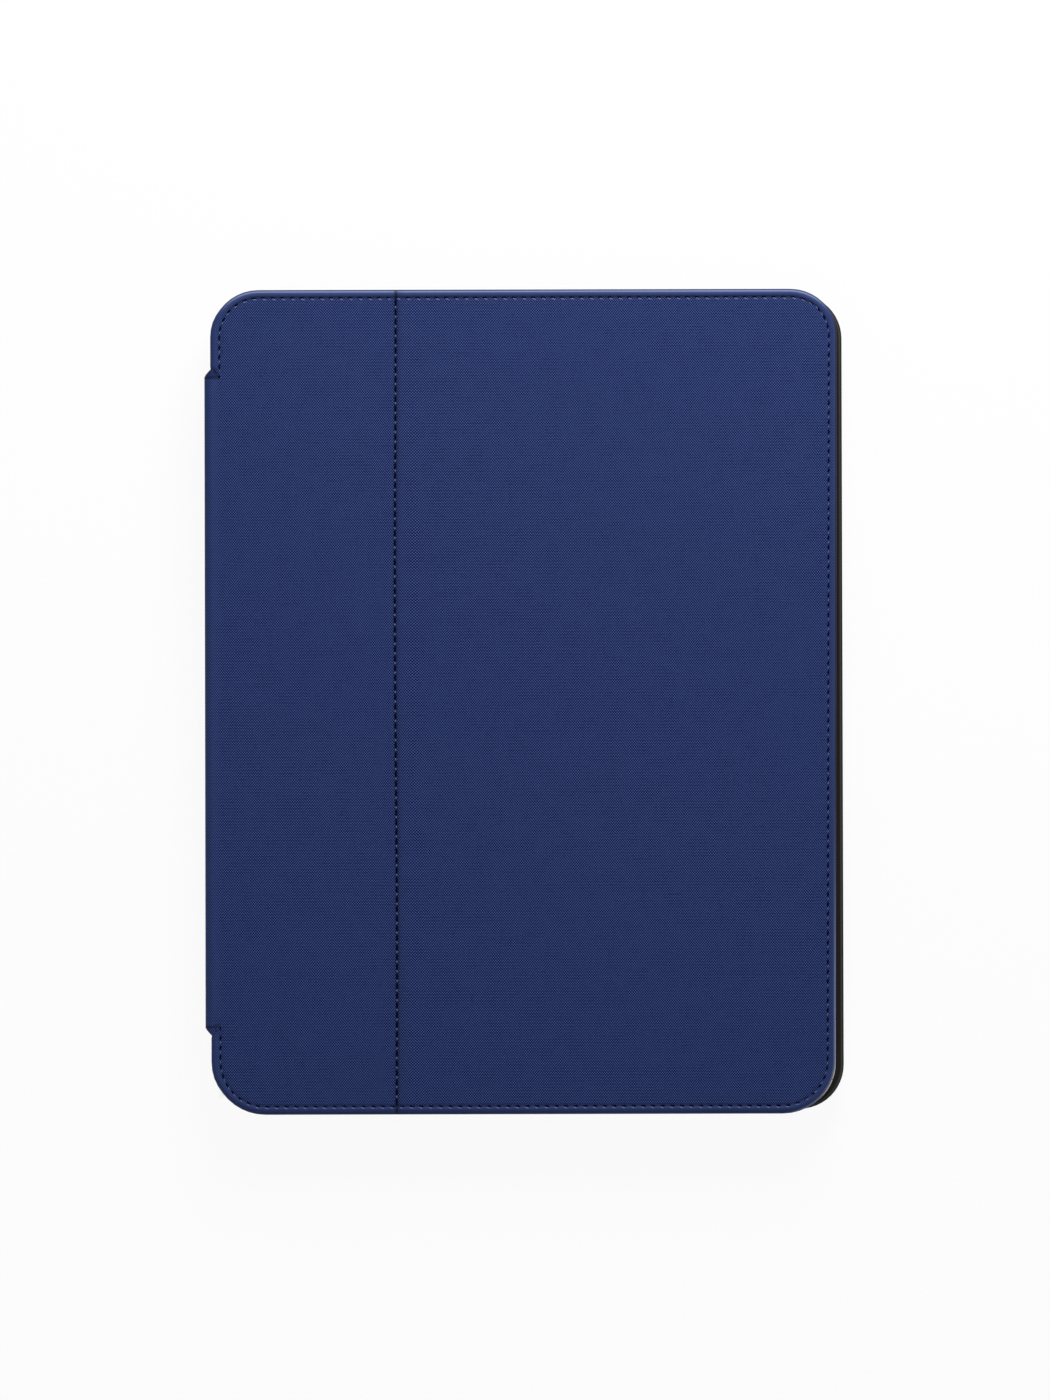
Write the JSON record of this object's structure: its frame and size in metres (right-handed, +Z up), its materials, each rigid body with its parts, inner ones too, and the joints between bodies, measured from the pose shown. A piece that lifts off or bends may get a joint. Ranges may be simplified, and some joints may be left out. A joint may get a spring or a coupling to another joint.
{
  "type": "tablet keyboard case",
  "caption": "Closed woven-fabric folio for a tablet: creased stand cover on a hinged spine, snap-in tray with cut-outs, and a slim keyboard held inside by magnets.",
  "frame": {"origin": "middle of the closed case's footprint, on the surface that its back lies on", "axes": "+X from the spine to the free edge, +Y along the case towards the camera cut-out, +Z up out of the cover"},
  "size_m": [0.223, 0.288, 0.0202],
  "materials": {
    "navy_fabric": "plain woven polyester, matte",
    "microfibre": "short-nap microfibre lining",
    "stiffener": "plain board",
    "tray_black": "fine matte moulded texture",
    "button_black": "satin moulded",
    "magnet": "nickel plated",
    "steel_strip": "plain rolled steel",
    "keyboard_plastic": "fine matte moulded texture",
    "key_plastic": "smooth matte keycaps",
    "circuit_film": "printed polyester film",
    "dome_rubber": "moulded silicone",
    "circuit_board": "green solder mask",
    "battery_foil": "pouch cell foil",
    "socket_steel": "drawn steel shell",
    "clear_lens": "frosted light pipe",
    "bumper_rubber": "soft moulded rubber",
    "screw_steel": "black oxide"
  },
  "bodies": {
    "tray": {"tray_shell": "tray_black", "tray_lining": "microfibre", "back_fabric": "navy_fabric"},
    "spine": {"spine_fabric": "navy_fabric", "spine_board": "stiffener", "spine_lining": "microfibre"},
    "narrow_panel": {"narrow_fabric": "navy_fabric", "narrow_board": "stiffener", "narrow_lining": "microfibre"},
    "wide_panel": {"wide_fabric": "navy_fabric", "wide_board": "stiffener", "wide_lining": "microfibre", "closure_magnets": "magnet", "keeper_strips": "steel_strip"},
    "keyboard": {"keyboard_base": "keyboard_plastic", "keyboard_frame": "keyboard_plastic", "circuit_sheet": "circuit_film", "dome_sheet": "dome_rubber", "main_board": "circuit_board", "battery": "battery_foil", "charge_socket": "socket_steel", "switch_housing": "button_black", "indicator_lens": "clear_lens", "keyboard_magnets": "magnet", "bumper_pads": "bumper_rubber", "case_screws": "screw_steel"},
    "volume_up_button": {"volume_up_button": "button_black"},
    "volume_down_button": {"volume_down_button": "button_black"},
    "power_button": {"power_button": "button_black"},
    "switch_knob": {"switch_knob": "button_black"},
    "function_keys": {"function_keys": "key_plastic"},
    "number_keys": {"number_keys": "key_plastic"},
    "backspace_key": {"backspace_key": "key_plastic"},
    "tab_key": {"tab_key": "key_plastic"},
    "upper_letter_keys": {"upper_letter_keys": "key_plastic"},
    "caps_lock_key": {"caps_lock_key": "key_plastic"},
    "home_letter_keys": {"home_letter_keys": "key_plastic"},
    "enter_key": {"enter_key": "key_plastic"},
    "left_shift_key": {"left_shift_key": "key_plastic"},
    "lower_letter_keys": {"lower_letter_keys": "key_plastic"},
    "right_shift_key": {"right_shift_key": "key_plastic"},
    "modifier_keys": {"modifier_keys": "key_plastic"},
    "command_keys": {"command_keys": "key_plastic"},
    "space_bar": {"space_bar": "key_plastic"},
    "option_key": {"option_key": "key_plastic"},
    "side_arrow_keys": {"side_arrow_keys": "key_plastic"},
    "down_arrow_key": {"down_arrow_key": "key_plastic"},
    "up_arrow_key": {"up_arrow_key": "key_plastic"}
  },
  "joints": [
    {"name": "back_hinge", "type": "hinge", "parent": "tray", "child": "spine", "pos_m": [-0.1115, 0, 0], "axis": [0, -1, 0], "range_deg": [0, 90]},
    {"name": "cover_hinge", "type": "hinge", "parent": "spine", "child": "narrow_panel", "pos_m": [-0.1115, 0, 0.0202], "axis": [0, -1, 0], "range_deg": [0, 180]},
    {"name": "crease_hinge", "type": "hinge", "parent": "narrow_panel", "child": "wide_panel", "pos_m": [-0.044, 0, 0.0202], "axis": [0, -1, 0], "range_deg": [0, 100]},
    {"name": "keyboard_slide", "type": "slide", "parent": "wide_panel", "child": "keyboard", "axis": [1, 0, 0], "range_m": [0, 0.15]},
    {"name": "power_button_press", "type": "slide", "parent": "tray", "child": "power_button", "axis": [0, -1, 0], "range_m": [0, 0.0005], "stiffness_N_per_m": 900},
    {"name": "volume_down_press", "type": "slide", "parent": "tray", "child": "volume_down_button", "axis": [-1, 0, 0], "range_m": [0, 0.0005], "stiffness_N_per_m": 900},
    {"name": "volume_up_press", "type": "slide", "parent": "tray", "child": "volume_up_button", "axis": [-1, 0, 0], "range_m": [0, 0.0005], "stiffness_N_per_m": 900},
    {"name": "switch_slide", "type": "slide", "parent": "keyboard", "child": "switch_knob", "axis": [0, 1, 0], "range_m": [0, 0.003]},
    {"name": "press_function_keys", "type": "slide", "parent": "keyboard", "child": "function_keys", "axis": [0, 0, 1], "range_m": [0, 0.0012], "stiffness_N_per_m": 500, "deforming": ["dome_sheet"]},
    {"name": "press_number_keys", "type": "slide", "parent": "keyboard", "child": "number_keys", "axis": [0, 0, 1], "range_m": [0, 0.0012], "stiffness_N_per_m": 500, "deforming": ["dome_sheet"]},
    {"name": "press_backspace_key", "type": "slide", "parent": "keyboard", "child": "backspace_key", "axis": [0, 0, 1], "range_m": [0, 0.0012], "stiffness_N_per_m": 500, "deforming": ["dome_sheet"]},
    {"name": "press_tab_key", "type": "slide", "parent": "keyboard", "child": "tab_key", "axis": [0, 0, 1], "range_m": [0, 0.0012], "stiffness_N_per_m": 500, "deforming": ["dome_sheet"]},
    {"name": "press_upper_letter_keys", "type": "slide", "parent": "keyboard", "child": "upper_letter_keys", "axis": [0, 0, 1], "range_m": [0, 0.0012], "stiffness_N_per_m": 500, "deforming": ["dome_sheet"]},
    {"name": "press_caps_lock_key", "type": "slide", "parent": "keyboard", "child": "caps_lock_key", "axis": [0, 0, 1], "range_m": [0, 0.0012], "stiffness_N_per_m": 500, "deforming": ["dome_sheet"]},
    {"name": "press_home_letter_keys", "type": "slide", "parent": "keyboard", "child": "home_letter_keys", "axis": [0, 0, 1], "range_m": [0, 0.0012], "stiffness_N_per_m": 500, "deforming": ["dome_sheet"]},
    {"name": "press_enter_key", "type": "slide", "parent": "keyboard", "child": "enter_key", "axis": [0, 0, 1], "range_m": [0, 0.0012], "stiffness_N_per_m": 500, "deforming": ["dome_sheet"]},
    {"name": "press_left_shift_key", "type": "slide", "parent": "keyboard", "child": "left_shift_key", "axis": [0, 0, 1], "range_m": [0, 0.0012], "stiffness_N_per_m": 500, "deforming": ["dome_sheet"]},
    {"name": "press_lower_letter_keys", "type": "slide", "parent": "keyboard", "child": "lower_letter_keys", "axis": [0, 0, 1], "range_m": [0, 0.0012], "stiffness_N_per_m": 500, "deforming": ["dome_sheet"]},
    {"name": "press_right_shift_key", "type": "slide", "parent": "keyboard", "child": "right_shift_key", "axis": [0, 0, 1], "range_m": [0, 0.0012], "stiffness_N_per_m": 500, "deforming": ["dome_sheet"]},
    {"name": "press_modifier_keys", "type": "slide", "parent": "keyboard", "child": "modifier_keys", "axis": [0, 0, 1], "range_m": [0, 0.0012], "stiffness_N_per_m": 500, "deforming": ["dome_sheet"]},
    {"name": "press_command_keys", "type": "slide", "parent": "keyboard", "child": "command_keys", "axis": [0, 0, 1], "range_m": [0, 0.0012], "stiffness_N_per_m": 500, "deforming": ["dome_sheet"]},
    {"name": "press_space_bar", "type": "slide", "parent": "keyboard", "child": "space_bar", "axis": [0, 0, 1], "range_m": [0, 0.0012], "stiffness_N_per_m": 500, "deforming": ["dome_sheet"]},
    {"name": "press_option_key", "type": "slide", "parent": "keyboard", "child": "option_key", "axis": [0, 0, 1], "range_m": [0, 0.0012], "stiffness_N_per_m": 500, "deforming": ["dome_sheet"]},
    {"name": "press_side_arrow_keys", "type": "slide", "parent": "keyboard", "child": "side_arrow_keys", "axis": [0, 0, 1], "range_m": [0, 0.0012], "stiffness_N_per_m": 500, "deforming": ["dome_sheet"]},
    {"name": "press_down_arrow_key", "type": "slide", "parent": "keyboard", "child": "down_arrow_key", "axis": [0, 0, 1], "range_m": [0, 0.0012], "stiffness_N_per_m": 500, "deforming": ["dome_sheet"]},
    {"name": "press_up_arrow_key", "type": "slide", "parent": "keyboard", "child": "up_arrow_key", "axis": [0, 0, 1], "range_m": [0, 0.0012], "stiffness_N_per_m": 500, "deforming": ["dome_sheet"]}
  ]
}
